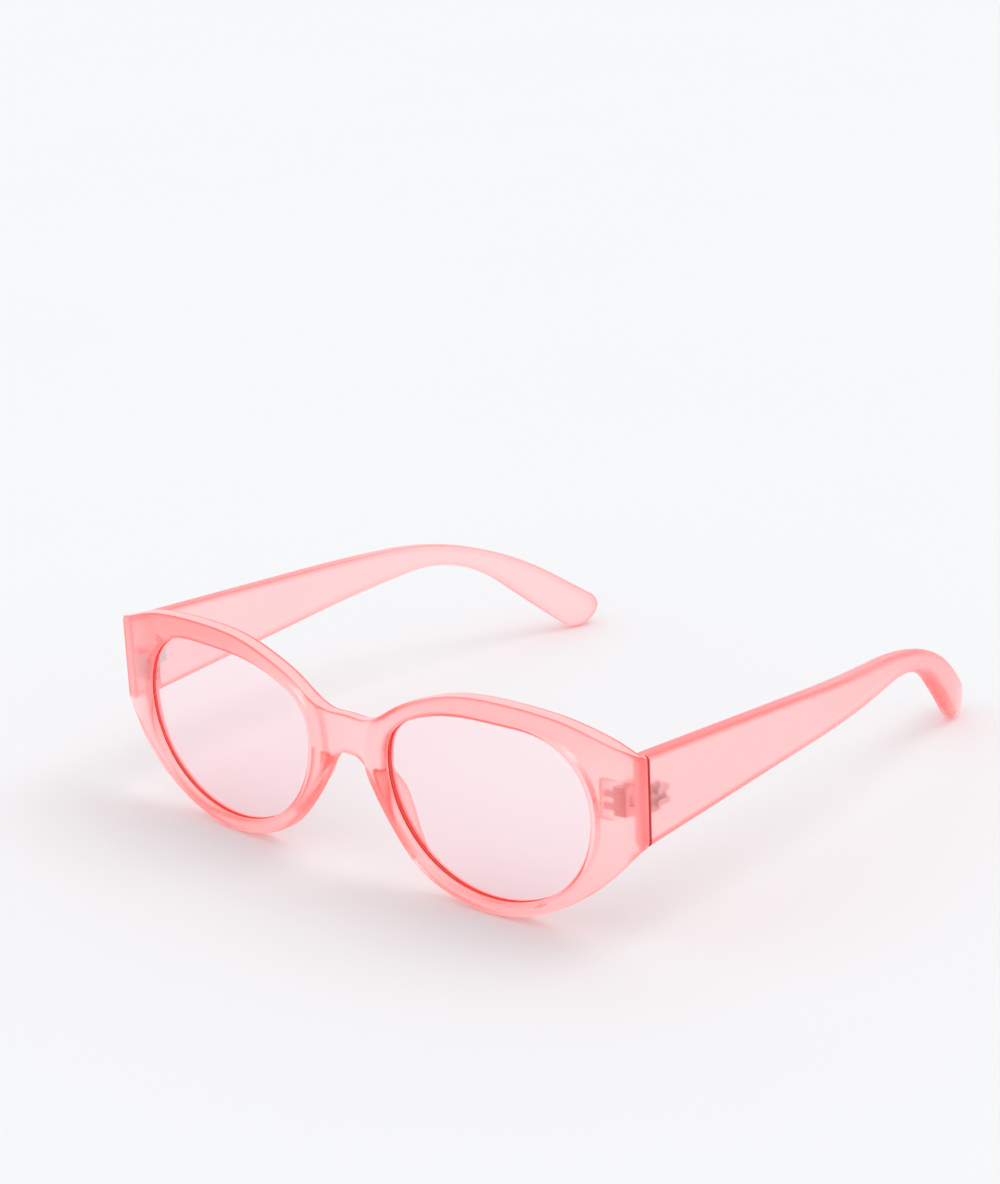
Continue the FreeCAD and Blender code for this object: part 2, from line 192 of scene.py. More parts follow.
# Painted shadow: a dark red for the shadow in the hinge gap, put along the edge of each temple's butt
GAP_SHADE_RED = (0.55, 0.05, 0.04)
GAP_SHADE_DARK = (0.45, 0.03, 0.02)

# Painted glow: emission that stands in for the light the plastic scatters inside, and what the plastic
# absorbs per metre
GLOW = (1.0, 0.26, 0.24)
GLOW_STRENGTH = 0.17
BUTT_PAINTED_GLOW = (1.0, 0.62, 0.62)
GROOVE_GLOW = (1.0, 0.06, 0.03)
LENS_GLOW_STRENGTH = 0.02
PLASTIC_TINT = (1.0, 0.38, 0.40)
PLASTIC_DENSITY = 130.0
LENS_TINT = (1.0, 0.42, 0.56)
LENS_DENSITY = 100.0
PLASTIC_IOR = 1.46

# Surface: the part of the noise that roughness follows, the curvature over which painted shade deepens a
# ridge's colour and how far it does, and each material's noise scale and roughness
NOISE_SPAN = (0.3, 0.7)
RIDGE_SHADE_SPAN = (0.51, 0.57)
RIDGE_SHADE_MAX = 0.8
FROST_GRAIN = 900.0
FROST_ROUGHNESS = (0.27, 0.33)
LENS_GRAIN = 60.0
LENS_ROUGHNESS = (0.015, 0.03)
METAL_GRAIN = 4000.0
METAL_ROUGHNESS = (0.25, 0.38)
FLOOR_GRAIN = 6.0


def unit(v):
    v = np.array(v, float)
    return v / np.linalg.norm(v)


def smooth_curve(points, start, end, steps=SPAN_STEPS):
    """Dense points of the smooth curve through given points, with its end directions given."""
    p = np.array(points, float)
    h = np.linalg.norm(np.diff(p, axis=0), axis=1)
    n = len(p)
    a = np.zeros((n, n))
    b = np.zeros(p.shape)
    a[0, 0] = a[-1, -1] = 1
    b[0], b[-1] = unit(start), unit(end)
    for i in range(1, n - 1):
        a[i, i - 1:i + 2] = h[i], 2 * (h[i - 1] + h[i]), h[i - 1]
        b[i] = 3 * (h[i] * (p[i] - p[i - 1]) / h[i - 1] + h[i - 1] * (p[i + 1] - p[i]) / h[i])
    m = np.linalg.solve(a, b)
    out = []
    for i in range(n - 1):
        t = np.linspace(0, 1, steps, endpoint=False)[:, None]
        out.append((2 * t**3 - 3 * t**2 + 1) * p[i] + (t**3 - 2 * t**2 + t) * h[i] * m[i]
                   + (3 * t**2 - 2 * t**3) * p[i + 1] + (t**3 - t**2) * h[i] * m[i + 1])
    return np.vstack(out + [p[-1:]])


def lengths(line):
    """Distance of each point of a line from its start."""
    return np.r_[0, np.cumsum(np.linalg.norm(np.diff(line, axis=0), axis=1))]


def along(line, s):
    """Points of a line at distances s from its start."""
    cum = lengths(line)
    return np.stack([np.interp(s, cum, line[:, i]) for i in range(line.shape[1])], -1)


def trimmed(line, first, last):
    """A line without its first and last stretches."""
    total = lengths(line)[-1]
    return along(line, np.linspace(first, total - last, max(2, int(total / 0.25))))


def bend(a, corner, b):
    """A rounded corner between two points."""
    t = np.linspace(0, 1, BEND_STEPS)[:, None]
    return (1 - t) ** 2 * a + 2 * t * (1 - t) * np.array(corner, float) + t**2 * b


def distance(points, line):
    """Distance from each point to a line of short pieces."""
    a, b = line[:-1], line[1:]
    d = b - a
    dd = (d * d).sum(-1)
    flat = points.reshape(-1, 2)
    out = np.empty(len(flat))
    for i in range(0, len(flat), 400):
        q = flat[i:i + 400, None] - a[None]
        t = np.clip((q * d).sum(-1) / dd, 0, 1)
        out[i:i + 400] = np.sqrt(((q - t[..., None] * d) ** 2).sum(-1)).min(1)
    return out.reshape(points.shape[:-1])


def rounding(d, radius):
    """How far a face drops at distance d from an edge rounded to a radius."""
    inside = np.clip(1 - d / radius, 0, 1)
    return radius * (1 - np.sqrt(1 - inside**2))


def ease(t):
    t = np.clip(t, 0, 1)
    return t * t * (3 - 2 * t)


brow = smooth_curve(BROW, (1, 0), (1, -0.3))
under = smooth_curve(UNDERSIDE, (-0.8, -0.8), (-1, 0))
opening = smooth_curve(OPENING, (-1, 0), (-1, 0))
side_top, side_low = brow[-1], under[0]
brow_cut = trimmed(brow, 0, UPPER_CORNER_REACH)
under_cut = trimmed(under, LOWER_CORNER_REACH, 0)
upper_bend = bend(brow_cut[-1], side_top, side_top - (0, UPPER_CORNER_REACH))
lower_bend = bend(side_low + (0, LOWER_CORNER_REACH), side_low, under_cut[0])
side_line = np.vstack([upper_bend, lower_bend])
flip = np.array([-1, 1])
brow_line = np.vstack([(brow_cut[1:60] * flip)[::-1], brow_cut])
under_line = np.vstack([under_cut, (under_cut[-60:-1] * flip)[::-1]])


def wrap(x):
    return x * x / (2 * FRONT_RADIUS)


def front_depth(x):
    """How far back the front's face stands at x: a gentle wrap, then a sweep at the end pieces."""
    x = np.abs(x)
    slope = SWEEP_START / FRONT_RADIUS
    cx = SWEEP_START - SWEEP_RADIUS * math.sin(slope)
    cy = wrap(SWEEP_START) + SWEEP_RADIUS * math.cos(slope)
    swept = cy - np.sqrt(np.maximum(SWEEP_RADIUS**2 - (x - cx) ** 2, 0))
    return np.where(x < SWEEP_START, wrap(x), swept)


def back_depth(x):
    """How far back the front's rear face stands at x, flat where the temple's butt meets it."""
    x = np.abs(x)
    start = wrap(SWEEP_START) + RIM_DEPTH
    ramp = start + (x - SWEEP_START) / (BUTT_X - SWEEP_START) * (BUTT_Y - start)
    return np.where(x < SWEEP_START, wrap(x) + RIM_DEPTH, np.minimum(ramp, BUTT_Y))


def faces_of_front(xz):
    """Depths of the front's face and back at points (x, height), with their rounded edges."""
    x = xz[..., 0]
    d_brow, d_under = distance(xz, brow_line), distance(xz, under_line)
    d_side, d_open = distance(xz, side_line), distance(xz, opening)
    front = np.maximum.reduce([rounding(d_brow, BROW_ROUND), rounding(d_under, UNDER_ROUND),
                               rounding(d_side, SIDE_ROUND), rounding(d_open, OPENING_ROUND)])
    back = np.maximum.reduce([rounding(d_brow, BACK_BROW_ROUND), rounding(d_under, BACK_UNDER_ROUND),
                              rounding(d_side, BACK_SIDE_ROUND), rounding(d_open, BACK_OPENING_ROUND)])
    bridge = ease((BRIDGE_REACH - x) / BRIDGE_BLEND)
    recess = bridge * (RECESS * ease((d_open - RECESS_FROM) / RECESS_BLEND)
                       + SADDLE * np.clip(1 - (x / SADDLE_HALF) ** 2, 0, 1))
    y0, y1 = front_depth(x) + recess, back_depth(x)
    share = np.minimum(1, 0.9 * (y1 - y0) / np.maximum(front + back, 1e-6))
    return y0 + front * share, y1 - back * share


def spaced(length, band, spacing=None, count=None):
    """Distances along a line that crowd together where its ends are rounded."""
    steps = np.array(ROUND_STEPS) * band
    if count is None:
        count = max(2, int((length - 2 * band) / spacing))
    middle = np.linspace(band, length - band, count + 1)[1:-1]
    return np.r_[steps, middle, length - steps[::-1]]


class Builder:
    """Collects points and faces, and welds them into one closed mesh."""

    def __init__(self):
        self.points = []
        self.faces = []
        self.kinds = []

    def sheet(self, grid, kind=0):
        """Faces over a grid of points (rows, columns, 3), all with one material."""
        base = sum(len(p) for p in self.points)
        rows, cols = grid.shape[:2]
        self.points.append(grid.reshape(-1, 3))
        for r in range(rows - 1):
            for c in range(cols - 1):
                i = base + r * cols + c
                self.faces.append((i, i + 1, i + cols + 1, i + cols))
                self.kinds.append(kind)

    def mesh(self, name, place, weld=0.002):
        points = np.vstack(self.points)
        mesh = bpy.data.meshes.new(name)
        mesh.from_pydata([tuple(v) for v in place(points)], [], self.faces)
        mesh.polygons.foreach_set("material_index", self.kinds)
        bm = bmesh.new()
        bm.from_mesh(mesh)
        bmesh.ops.remove_doubles(bm, verts=bm.verts, dist=weld * MM)
        bmesh.ops.dissolve_degenerate(bm, edges=bm.edges, dist=weld * MM)
        bmesh.ops.recalc_face_normals(bm, faces=bm.faces)
        for face in bm.faces:
            face.smooth = True
        bm.to_mesh(mesh)
        bm.free()
        obj = bpy.data.objects.new(name, mesh)
        bpy.context.scene.collection.objects.link(obj)
        return obj


def settled(p):
    """Modelling frame in millimetres to the row frame in metres."""
    return (p + np.array([0, SHIFT_Y, SHIFT_Z])) * MM


def leaned(p):
    """The same for the front's pieces, whose tops lean back a little about a line at the butts."""
    y, z = p[:, 1] - BUTT_Y, p[:, 2] - HINGE_Z
    c, s = math.cos(FRONT_LEAN), math.sin(FRONT_LEAN)
    return settled(np.stack([p[:, 0], BUTT_Y + y * c + z * s, HINGE_Z - y * s + z * c], -1))


def solid(xz, y):
    """Points (x, height above the bridge's top) and a depth to points in space."""
    return np.stack([xz[..., 0], y, xz[..., 1] + BRIDGE_TOP], -1)


def front_piece():
    """The moulded front: a ring round each lens, the bridge between them, and the two hinge bosses."""
    build = Builder()
    seam_at = SEAM_SPANS * SPAN_STEPS
    top_at = lengths(brow)[seam_at]
    low_at = lengths(under)[-1] - lengths(under)[-1 - seam_at]
    top, low = brow[seam_at], under[-1 - seam_at]
    brow_part = brow_cut[brow_cut[:, 0] > top[0] + 0.1]
    under_part = under_cut[under_cut[:, 0] > low[0] + 0.1]
    rim = np.vstack([[top], brow_part, upper_bend[1:], lower_bend, under_part[1:], [low]])
    cum = lengths(rim)
    corner_a = cum[len(brow_part) + BEND_STEPS // 2]
    corner_b = cum[len(brow_part) + len(upper_bend) + BEND_STEPS // 2]
    stops = [0.0]
    while stops[-1] < cum[-1] - RIM_TAIL:
        s = stops[-1]
        near = min(abs(s - corner_a), abs(s - corner_b))
        stops.append(s + next((step for reach, step in CORNER_SPACING if near < reach), RIM_SPACING))
    stops.append(cum[-1])
    outer = along(rim, np.array(stops))
    seam_length = np.linalg.norm(top - low)
    marks = spaced(seam_length, EDGE_BAND, spacing=0.9)[:, None] / seam_length
    seam = low + (top - low) * marks
    loop = np.vstack([outer, seam[1:]])

    cum_in = lengths(opening)
    total = cum_in[-1]
    nearest = np.array([cum_in[((opening - q) ** 2).sum(1).argmin()] for q in loop])
    nearest = np.unwrap(nearest, period=total)
    spread = nearest[0] + (nearest[-1] - nearest[0]) * lengths(loop) / lengths(loop)[-1]
    s_in = NEAREST_SHARE * nearest + (1 - NEAREST_SHARE) * spread
    inner = along(opening, s_in % total)
    ahead = along(opening, (s_in + 0.05) % total) - along(opening, (s_in - 0.05) % total)
    normal = np.stack([-ahead[:, 1], ahead[:, 0]], -1)
    normal /= np.linalg.norm(normal, axis=1)[:, None]

    grid = []
    for p, q in zip(inner, loop):
        length = np.linalg.norm(q - p)
        s = np.r_[np.array(ROUND_STEPS) * OPENING_ROUND,
                  np.linspace(OPENING_ROUND, length - EDGE_BAND, 7)[1:-1],
                  length - np.array(ROUND_STEPS[::-1]) * EDGE_BAND][:, None]
        grid.append(p + (q - p) * s / length)
    grid = np.array(grid).transpose(1, 0, 2)
    y0, y1 = faces_of_front(grid)

    bridge = []
    for u in np.linspace(0, 1, 15):
        a = along(under, lengths(under)[-1] - low_at * (1 - u))
        b = along(brow, top_at * (1 - u))
        length = np.linalg.norm(b - a)
        s = spaced(length, EDGE_BAND, count=len(marks) - 2 * len(ROUND_STEPS) + 1)[:, None]
        bridge.append(a + (b - a) * s / length)
    bridge = np.array(bridge)
    bridge[0] = seam
    bridge[-1, :, 0] = 0
    b0, b1 = faces_of_front(bridge)

    hold = len(outer)
    groove_front = LENS_SETBACK - FIT_GAP
    groove_back = LENS_SETBACK + LENS_THICKNESS + FIT_GAP
    wall = [solid(inner, y0[0])]
    for reach, depth in ((0, groove_front), (GROOVE_DEPTH, groove_front), (GROOVE_DEPTH, groove_back),
                         (0, groove_back)):
        xz = inner + normal * reach
        wall.append(solid(xz, wrap(xz[:, 0]) + depth))
    wall.append(solid(inner, y1[0]))

    for sign in (1, -1):
        turn = np.array([sign, 1, 1])
        build.sheet(solid(grid, y0) * turn)
        build.sheet(solid(grid, y1) * turn)
        build.sheet(np.array(wall[:4]) * turn)
        # The groove's back wall takes the dark red groove material, lifted by a painted red glow.
        build.sheet(np.array(wall[3:5]) * turn, 1)
        build.sheet(np.array(wall[4:]) * turn)
        edge = [solid(grid[-1, :hold], y0[-1, :hold] * (1 - k) + y1[-1, :hold] * k) for k in EDGE_ROWS]
        upper_corner = (grid[-1, :, 0] > HALF_WIDTH - 0.1).argmax()
        # Painted highlight: the top edge of each rim, up to its upper corner, takes the lighter copy of the
        # plastic.
        build.sheet(np.array(edge)[:, :upper_corner + 1] * turn, 2)
        build.sheet(np.array(edge)[:, upper_corner:] * turn)
        build.sheet(solid(bridge, b0) * turn)
        build.sheet(solid(bridge, b1) * turn)
        # Painted highlight: the bridge's top edge takes the lighter copy of the plastic.
        for j, kind in ((0, 0), (-1, 2)):
            edge = [solid(bridge[:, j], b0[:, j] * (1 - k) + b1[:, j] * k) for k in EDGE_ROWS]
            build.sheet(np.array(edge) * turn, kind)
    front = build.mesh("front_moulding", leaned)
    for sign in (1, -1):
        join(front, boss_block(sign))
    return front


def boss_block(sign):
    """Block with rounded edges that holds a hinge leaf."""
    bm = bmesh.new()
    bmesh.ops.create_cube(bm, size=1)
    low, high = (np.array([r[i] for r in (BOSS_X, BOSS_Y, BOSS_Z)]) for i in (0, 1))
    for v in bm.verts:
        v.co = Vector(low + (np.array(v.co) + 0.5) * (high - low))
    bmesh.ops.bevel(bm, geom=bm.edges, offset=BOSS_BEVEL, segments=3, profile=0.5, affect="EDGES")
    points = leaned(np.array([v.co for v in bm.verts]) * np.array([sign, 1, 1]))
    for v, point in zip(bm.verts, points):
        v.co = point
    bmesh.ops.recalc_face_normals(bm, faces=bm.faces)
    mesh = bpy.data.meshes.new("boss")
    bm.to_mesh(mesh)
    bm.free()
    block = bpy.data.objects.new("boss", mesh)
    bpy.context.scene.collection.objects.link(block)
    return block


def join(piece, block):
    """Fuses a block into a piece."""
    fuse = piece.modifiers.new("fuse", "BOOLEAN")
    fuse.operation = "UNION"
    fuse.solver = "EXACT"
    fuse.object = block
    shape = bpy.data.meshes.new_from_object(piece.evaluated_get(bpy.context.evaluated_depsgraph_get()))
    piece.modifiers.remove(fuse)
    piece.data = shape
    bpy.data.objects.remove(block)
    shape.polygons.foreach_set("use_smooth", [True] * len(shape.polygons))
    shape.set_sharp_from_angle(angle=math.radians(40))


def pad_piece(sign, name):
    """Flange behind the rim that rests on the side of the nose, with a rounded edge all round."""
    table = np.array(PAD_SECTIONS, float)
    rows = smooth_curve(table, table[1] - table[0], table[-1] - table[-2], steps=9)
    base = RIM_DEPTH - 1
    around = np.radians(np.linspace(180, 0, 9))
    loops = []
    for root, tip, reach, z in rows:
        edge = min(rows[0, 3] - z, z - rows[-1, 3])
        fill = math.sqrt(1 - (1 - min(edge / PAD_END_ROUND, 1)) ** 2)
        reach = base + (reach - base) * (PAD_END_REACH + (1 - PAD_END_REACH) * fill)
        middle = root + PAD_ROOT_WIDTH / 2
        arc = np.stack([tip + PAD_TIP_RADIUS * fill * np.cos(around),
                        reach - PAD_TIP_RADIUS + PAD_TIP_RADIUS * np.sin(around)], -1)
        a = np.array([middle - PAD_ROOT_WIDTH / 2 * fill, base])
        b = np.array([middle + PAD_ROOT_WIDTH / 2 * fill, base])
        t = np.linspace(0, 1, 5)[:-1, None]
        loop = np.vstack([a + (arc[0] - a) * t, arc, arc[-1] + (b - arc[-1]) * t[1:], [b], [a]])
        loops.append(np.column_stack([loop[:, 0], loop[:, 1], np.full(len(loop), z + BRIDGE_TOP)]))
    build = Builder()
    build.sheet(np.array(loops) * np.array([sign, 1, 1]))
    return build.mesh(name, leaned)


def lens_piece(sign, name):
    """A lens that follows the front's wrap, with its rim in the groove."""
    build = Builder()
    cum = lengths(opening)
    s = np.linspace(0, cum[-1], LENS_COLUMNS)
    edge = along(opening, s)
    ahead = along(opening, (s + 0.05) % cum[-1]) - along(opening, (s - 0.05) % cum[-1])
    normal = np.stack([-ahead[:, 1], ahead[:, 0]], -1)
    normal /= np.linalg.norm(normal, axis=1)[:, None]
    edge = edge + normal * (GROOVE_DEPTH - FIT_GAP)
    middle = np.array(LENS_MIDDLE)
    rings = [middle + (edge - middle) * k for k in np.linspace(0.02, 0.985, 22)]
    rings += [edge - normal * LENS_BEVEL, edge]
    rings = np.array(rings)
    drop = np.zeros(len(rings))
    drop[-1] = LENS_BEVEL
    front = wrap(rings[..., 0]) + LENS_SETBACK + drop[:, None]
    back = wrap(rings[..., 0]) + LENS_SETBACK + LENS_THICKNESS - drop[:, None]
    turn = np.array([sign, 1, 1])
    build.sheet(solid(rings, front) * turn)
    build.sheet(solid(rings, back) * turn)
    build.sheet(np.array([solid(edge, front[-1]), solid(edge, back[-1])]) * turn)
    for depth in (front[0], back[0]):
        level = wrap(middle[0]) + depth.mean() - wrap(rings[0, :, 0]).mean()
        hub = solid(np.repeat(middle[None], len(s), 0), np.full(len(s), level))
        build.sheet(np.array([hub, solid(rings[0], depth)]) * turn)
    return build.mesh(name, leaned)


def temple_outline():
    """Side view of a temple: its upper line, its lower line and its tip."""

    def down(height, run, slope, radius, last, end):
        z = BRIDGE_TOP + height
        start = np.array([BUTT_Y + JOINT_GAP + (z - HINGE_Z) * math.tan(FRONT_LEAN), z])
        a, b = math.radians(slope), math.radians(last)
        corner = start + np.array([run, -run * math.tan(a)])
        t = np.linspace(a, b, 40)[:, None]
        arc = corner + radius * np.hstack([np.sin(t) - math.sin(a), np.cos(t) - math.cos(a)])
        return np.vstack([[start], arc, [end]])

    heel, toe = np.array(HEEL), np.array(TOE)
    top = down(BUTT_TOP, *UPPER_LINE, heel)
    low = down(BUTT_LOW, *LOWER_LINE, toe)
    p, q, r = heel, np.array(TIP_MIDDLE), toe
    m = np.array([2 * (q - p), 2 * (r - p)])
    centre = np.linalg.solve(m, [q @ q - p @ p, r @ r - p @ p])
    a0, a1 = (math.atan2(*(v - centre)[::-1]) for v in (heel, toe))
    t = np.linspace(a0, a1, 24)[:, None]
    tip = centre + np.linalg.norm(heel - centre) * np.hstack([np.cos(t), np.sin(t)])
    top, low = trimmed(top, 0, HEEL_REACH), trimmed(low, 0, TOE_REACH)
    tip = trimmed(tip, HEEL_REACH, TOE_REACH)
    heel_bend, toe_bend = bend(top[-1], heel, tip[0]), bend(tip[-1], toe, low[-1])
    half = len(heel_bend) // 2
    return (np.vstack([top, heel_bend[1:half]]), np.vstack([low, toe_bend[:half - 1:-1][1:]]),
            np.vstack([heel_bend[half - 1:], tip[1:-1], toe_bend[:half + 1]]))


def temple_piece(sign, name):
    """A temple: flat at the butt, tapering, then bent down and inwards to a rounded paddle."""
    top, low, tip = temple_outline()
    build = Builder()
    stops = np.r_[np.array(ROUND_STEPS) * BUTT_BAND, np.linspace(BUTT_BAND, TIP_RUN, TEMPLE_COLUMNS)[1:]]
    top_len, low_len = lengths(top)[-1], lengths(low)[-1]
    slowing = 1 - np.sin(np.linspace(0, np.pi / 2, TIP_COLUMNS)[1:])
    share = np.r_[stops / TEMPLE_RUN, 1 - (1 - stops[-1] / TEMPLE_RUN) * slowing]
    cols = []
    for u in share:
        a, b = along(top, u * top_len), along(low, u * low_len)
        length = np.linalg.norm(b - a)
        band = min(TEMPLE_BAND, length * 0.3)
        s = spaced(length, band, count=8)[:, None] / length
        line = a + (b - a) * s
        bow = along(tip, s[:, 0] * lengths(tip)[-1]) - (tip[0] + (tip[-1] - tip[0]) * s)
        line = line + bow * ease((u - 0.9) / 0.1)
        cols.append(line)
    grid = np.array(cols).transpose(1, 0, 2)
    rim = np.vstack([top, tip[1:-1], low[::-1]])
    butt = np.array([low[0], top[0]])
    y = grid[..., 0]
    radius = EDGE_RADIUS + EDGE_RADIUS_GAIN * ease((y - PADDLE_START) / PADDLE_BLEND)
    thin = np.maximum(rounding(distance(grid, rim), radius), rounding(distance(grid, butt), BUTT_ROUND))
    half = TEMPLE_THICKNESS / 2 - thin
    turn_in = np.clip(y - STRAIGHT_END, 0, None)
    angle = np.arcsin(turn_in / INWARD_RADIUS)
    x = HALF_WIDTH - TEMPLE_THICKNESS / 2 - INWARD_RADIUS * (1 - np.cos(angle))

    def face(out):
        return np.stack([x + out * half * np.cos(angle), y + out * half * np.sin(angle), grid[..., 1]], -1)

    outer, inner = face(1), face(-1)
    turn = np.array([sign, 1, 1])
    # Painted shadow of the hinge gap: a thin dark strip along the outer face next to the butt.
    build.sheet(outer[:, :4] * turn, 2)
    build.sheet(outer[:, 3:] * turn)
    build.sheet(inner * turn)
    for a, b in ((outer[0], inner[0]), (outer[-1], inner[-1]), (outer[:, -1], inner[:, -1])):
        build.sheet(np.array([a * (1 - k) + b * k for k in EDGE_ROWS]) * turn)
    end = np.array([outer[:, 0] * (1 - k) + inner[:, 0] * k for k in EDGE_ROWS]) * turn
    # Painted shadow of the hinge gap: a thin dark strip along the butt's outer edge.
    build.sheet(end[:3], 2)
    # Painted highlight: the rest of the butt face takes the lighter, glowing copy.
    build.sheet(end[2:], 1)
    return build.mesh(name, settled)


def add_camera():
    data = bpy.data.cameras.new("camera")
    data.sensor_fit = "HORIZONTAL"
    data.sensor_width = SENSOR
    data.lens = FOCAL
    data.shift_x = SHIFT_X
    data.clip_start = 0.01
    camera = bpy.data.objects.new("camera", data)
    bpy.context.scene.collection.objects.link(camera)
    turn = (Matrix.Rotation(math.radians(AZIMUTH), 4, "Z")
            @ Matrix.Rotation(math.radians(90 - ELEVATION), 4, "X")
            @ Matrix.Rotation(math.radians(ROLL), 4, "Z"))
    camera.matrix_world = Matrix.Translation(AIM) @ turn @ Matrix.Translation((0, 0, DISTANCE))
    bpy.context.scene.camera = camera


def add_floor():
    mesh = bpy.data.meshes.new("floor")
    corners = [(x * FLOOR_HALF, y * FLOOR_HALF, 0) for x, y in ((-1, -1), (1, -1), (1, 1), (-1, 1))]
    mesh.from_pydata(corners, [], [(0, 1, 2, 3)])
    floor = bpy.data.objects.new("floor", mesh)
    bpy.context.scene.collection.objects.link(floor)
    m = Nodes("floor")
    low, high = (FLOOR_TONE - FLOOR_VARIATION,) * 3, (FLOOR_TONE + FLOOR_VARIATION,) * 3
    m.set(Base_Color=m.ramp(m.noise(FLOOR_GRAIN), low, high), Roughness=0.9)
    mesh.materials.append(m.material)


def add_sky_and_sun():
    scene = bpy.context.scene
    scene.world = bpy.data.worlds.new("studio")
    scene.world.use_nodes = True
    sky = scene.world.node_tree.nodes["Background"]
    sky.inputs["Color"].default_value = (*SKY, 1)
    sky.inputs["Strength"].default_value = 1.0
    data = bpy.data.lights.new("key", "SUN")
    data.energy = KEY_POWER
    data.angle = KEY_ANGLE
    light = bpy.data.objects.new("key", data)
    scene.collection.objects.link(light)
    light.rotation_euler = Vector(KEY_DIRECTION).to_track_quat("-Z", "Y").to_euler()


class Nodes:
    """Short way to wire a procedural material."""

    def __init__(self, name):
        self.material = bpy.data.materials.new(name)
        self.material.use_nodes = True
        self.tree = self.material.node_tree
        self.shader = self.tree.nodes["Principled BSDF"]
        self.out = self.tree.nodes["Material Output"]

    def add(self, kind, settings=(), **values):
        node = self.tree.nodes.new("ShaderNode" + kind)
        for key, value in dict(settings).items():
            setattr(node, key, value)
        for key, value in values.items():
            socket = node.inputs[key.replace("_", " ")]
            if isinstance(value, bpy.types.NodeSocket):
                self.tree.links.new(value, socket)
            else:
                socket.default_value = value
        return node

    def set(self, **values):
        for key, value in values.items():
            socket = self.shader.inputs[key.replace("_", " ")]
            if isinstance(value, bpy.types.NodeSocket):
                self.tree.links.new(value, socket)
            else:
                socket.default_value = value

    def noise(self, scale, detail=2.0):
        where = self.add("TexCoord").outputs["Object"]
        return self.add("TexNoise", Vector=where, Scale=scale, Detail=detail).outputs["Fac"]

    def ramp(self, factor, low, high):
        """Colour that goes from low to high with a factor."""
        mix = self.add("Mix", {"data_type": "RGBA"})
        self.tree.links.new(factor, mix.inputs["Factor"])
        for socket, colour in zip([i for i in mix.inputs if i.type == "RGBA"], (low, high)):
            if isinstance(colour, bpy.types.NodeSocket):
                self.tree.links.new(colour, socket)
            else:
                socket.default_value = (*colour, 1)
        return next(o for o in mix.outputs if o.type == "RGBA")

    def remap(self, value, a, b, c, d):
        """A value scaled from the range a to b onto the range c to d."""
        node = self.add("MapRange", Value=value, From_Min=a, From_Max=b, To_Min=c, To_Max=d)
        return node.outputs["Result"]

    def absorb(self, tint, density):
        inside = self.add("VolumeAbsorption", Color=(*tint, 1), Density=density)
        self.tree.links.new(inside.outputs["Volume"], self.out.inputs["Volume"])


def frosted_plastic(name, pale, shade_colour, clarity, top_shade=None, glow=None, glow_strength=None):
    """Frosted see-through plastic with a painted glow, deepened in colour by painted shade along its ridges
    and, if asked, towards its top.
    """
    m = Nodes(name)
    # Painted shade: the pale colour deepens with height towards the top of the piece.
    if top_shade:
        where = m.add("SeparateXYZ", Vector=m.add("TexCoord").outputs["Object"])
        pale = m.ramp(m.remap(where.outputs["Z"], TOP_SHADE_FROM * MM, TOP_SHADE_TO * MM, 0.0, 1.0), pale, top_shade)
    # Painted shade: where the surface is sharply convex, the colour deepens towards the ridge colour.
    ridge_shade_mask = m.remap(m.add("NewGeometry").outputs["Pointiness"], *RIDGE_SHADE_SPAN, 0.0, RIDGE_SHADE_MAX)
    # Painted glow: the emission makes the plastic glow though no lamp lights it.
    m.set(Base_Color=m.ramp(ridge_shade_mask, pale, shade_colour), IOR=PLASTIC_IOR, Transmission_Weight=clarity,
          Roughness=m.remap(m.noise(FROST_GRAIN, 3.0), *NOISE_SPAN, *FROST_ROUGHNESS),
          Emission_Color=(*(glow or GLOW), 1), Emission_Strength=glow_strength or GLOW_STRENGTH)
    m.absorb(PLASTIC_TINT, PLASTIC_DENSITY)
    return m.material


def lens_plastic(name):
    """Clear, polished, faintly pink lens, with a faint painted glow."""
    m = Nodes(name)
    m.set(Base_Color=(1, 1, 1, 1), IOR=PLASTIC_IOR, Transmission_Weight=1.0,
          Roughness=m.remap(m.noise(LENS_GRAIN), *NOISE_SPAN, *LENS_ROUGHNESS),
          Emission_Color=(*GLOW, 1), Emission_Strength=LENS_GLOW_STRENGTH)
    m.absorb(LENS_TINT, LENS_DENSITY)
    return m.material


def satin_metal(name, tone):
    """Nickel-plated hinge metal with fine brushing."""
    m = Nodes(name)
    grain = m.noise(METAL_GRAIN)
    bump = m.add("Bump", Height=grain, Strength=0.2, Distance=0.00002)
    m.set(Base_Color=m.ramp(grain, tuple(0.94 * t for t in tone), tone), Metallic=1.0,
          Roughness=m.remap(grain, *NOISE_SPAN, *METAL_ROUGHNESS), Normal=bump.outputs["Normal"])
    return m.material


add_camera()
add_floor()
add_sky_and_sun()
bpy.context.scene.view_settings.view_transform = "Standard"
bpy.context.scene.cycles.max_bounces = 32
bpy.context.scene.cycles.transmission_bounces = 32

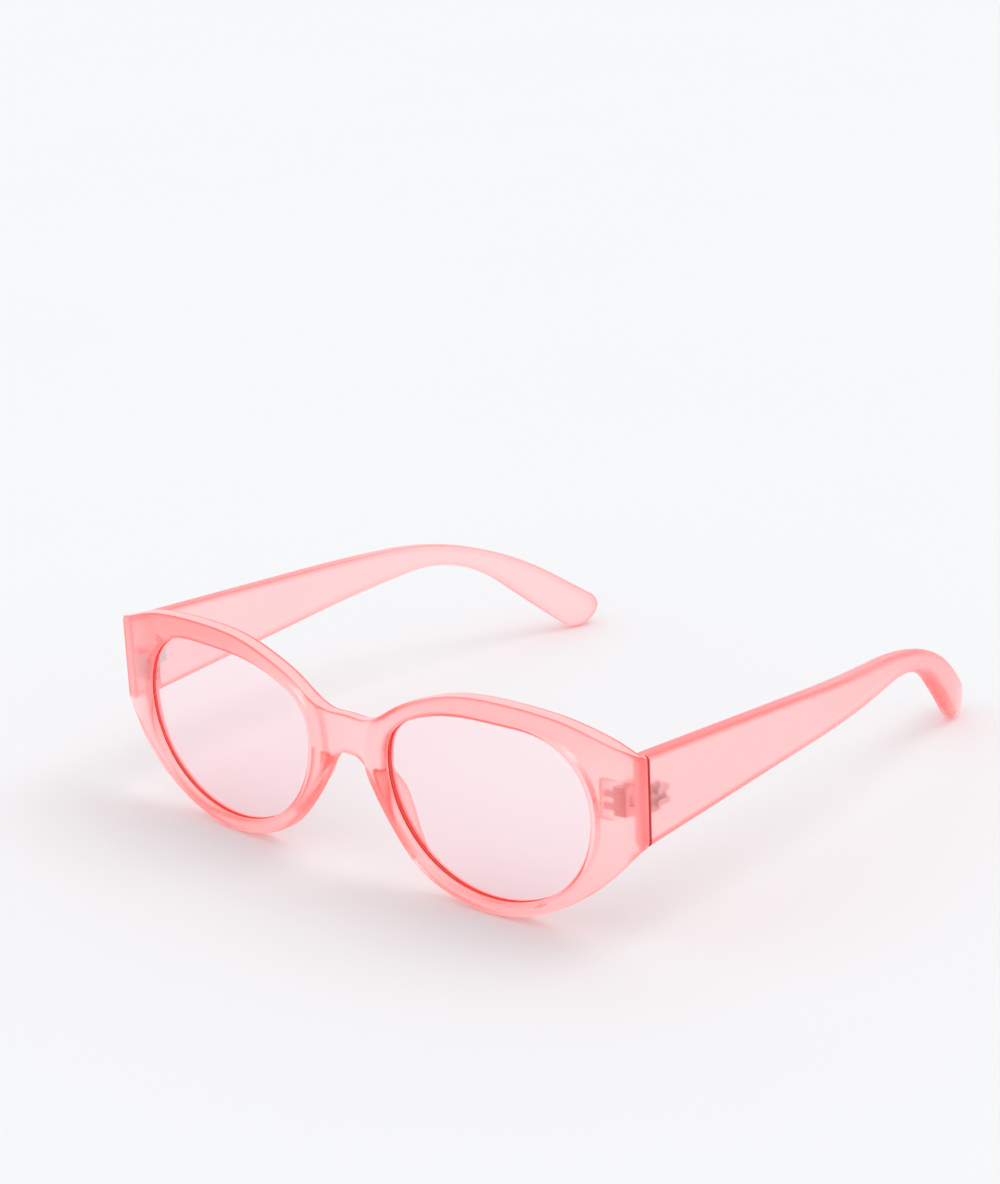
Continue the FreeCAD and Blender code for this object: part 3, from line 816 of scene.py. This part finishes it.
frosted = frosted_plastic("frosted_frame", PALE, PAINTED_RIDGE_SHADE, 1.0, top_shade=TOP_SHADE)
temple_plastic = frosted_plastic("frosted_temples", PALE, PAINTED_RIDGE_SHADE, 1.0)
# Painted highlight: the temples' butt faces get the lighter copy of the plastic with a stronger painted
# glow.
butt = frosted_plastic("lit_temple_butts", LIT_PINK, LIT_RIDGE_SHADE, 0.15, glow=BUTT_PAINTED_GLOW, glow_strength=0.3)
# Painted highlight: the top edges of the rims and bridge get this lighter, less clear copy of the plastic.
lit_top_edge = frosted_plastic("lit_top_edges", LIT_PINK, LIT_RIDGE_SHADE, 0.15)
# The groove's back wall: dark red, lifted by a painted red glow.
groove = frosted_plastic("lens_groove", GROOVE_RED, GROOVE_DARK, 0.1, glow=GROOVE_GLOW, glow_strength=0.25)
pads = frosted_plastic("frosted_pads", PAD_PINK, PAINTED_RIDGE_SHADE, 0.9)
# Painted shadow: dark red for the hinge gap, along the temples' butt edges.
gap_shade = frosted_plastic("hinge_gap_shade", GAP_SHADE_RED, GAP_SHADE_DARK, 0.0, glow=GROOVE_GLOW, glow_strength=0.02)
clear = lens_plastic("tinted_lens")
metal = satin_metal("satin_hinge_metal", (0.72, 0.73, 0.73))
screw_metal = satin_metal("satin_screw_metal", (0.66, 0.68, 0.70))

front = front_piece()
front.data.materials.append(frosted)
front.data.materials.append(groove)
front.data.materials.append(lit_top_edge)
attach(front, "front")
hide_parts("front_frame")
for side, sign in (("right", 1), ("left", -1)):
    lens = lens_piece(sign, "shaped_lens_" + side)
    lens.data.materials.append(clear)
    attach(lens, "front")
    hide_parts("lens_" + side)
    pad = pad_piece(sign, "shaped_nose_pad_" + side)
    pad.data.materials.append(pads)
    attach(pad, "front")
    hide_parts("nose_pad_" + side)
    temple = temple_piece(sign, "shaped_temple_" + side)
    temple.data.materials.append(temple_plastic)
    temple.data.materials.append(butt)
    temple.data.materials.append(gap_shade)
    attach(temple, "temple_" + side)
    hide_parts("temple_" + side)
    for node in ("front_hinge_leaf_", "temple_hinge_leaf_"):
        bpy.data.objects[node + side].material_slots[0].material = metal
    bpy.data.objects["hinge_screw_" + side].material_slots[0].material = screw_metal
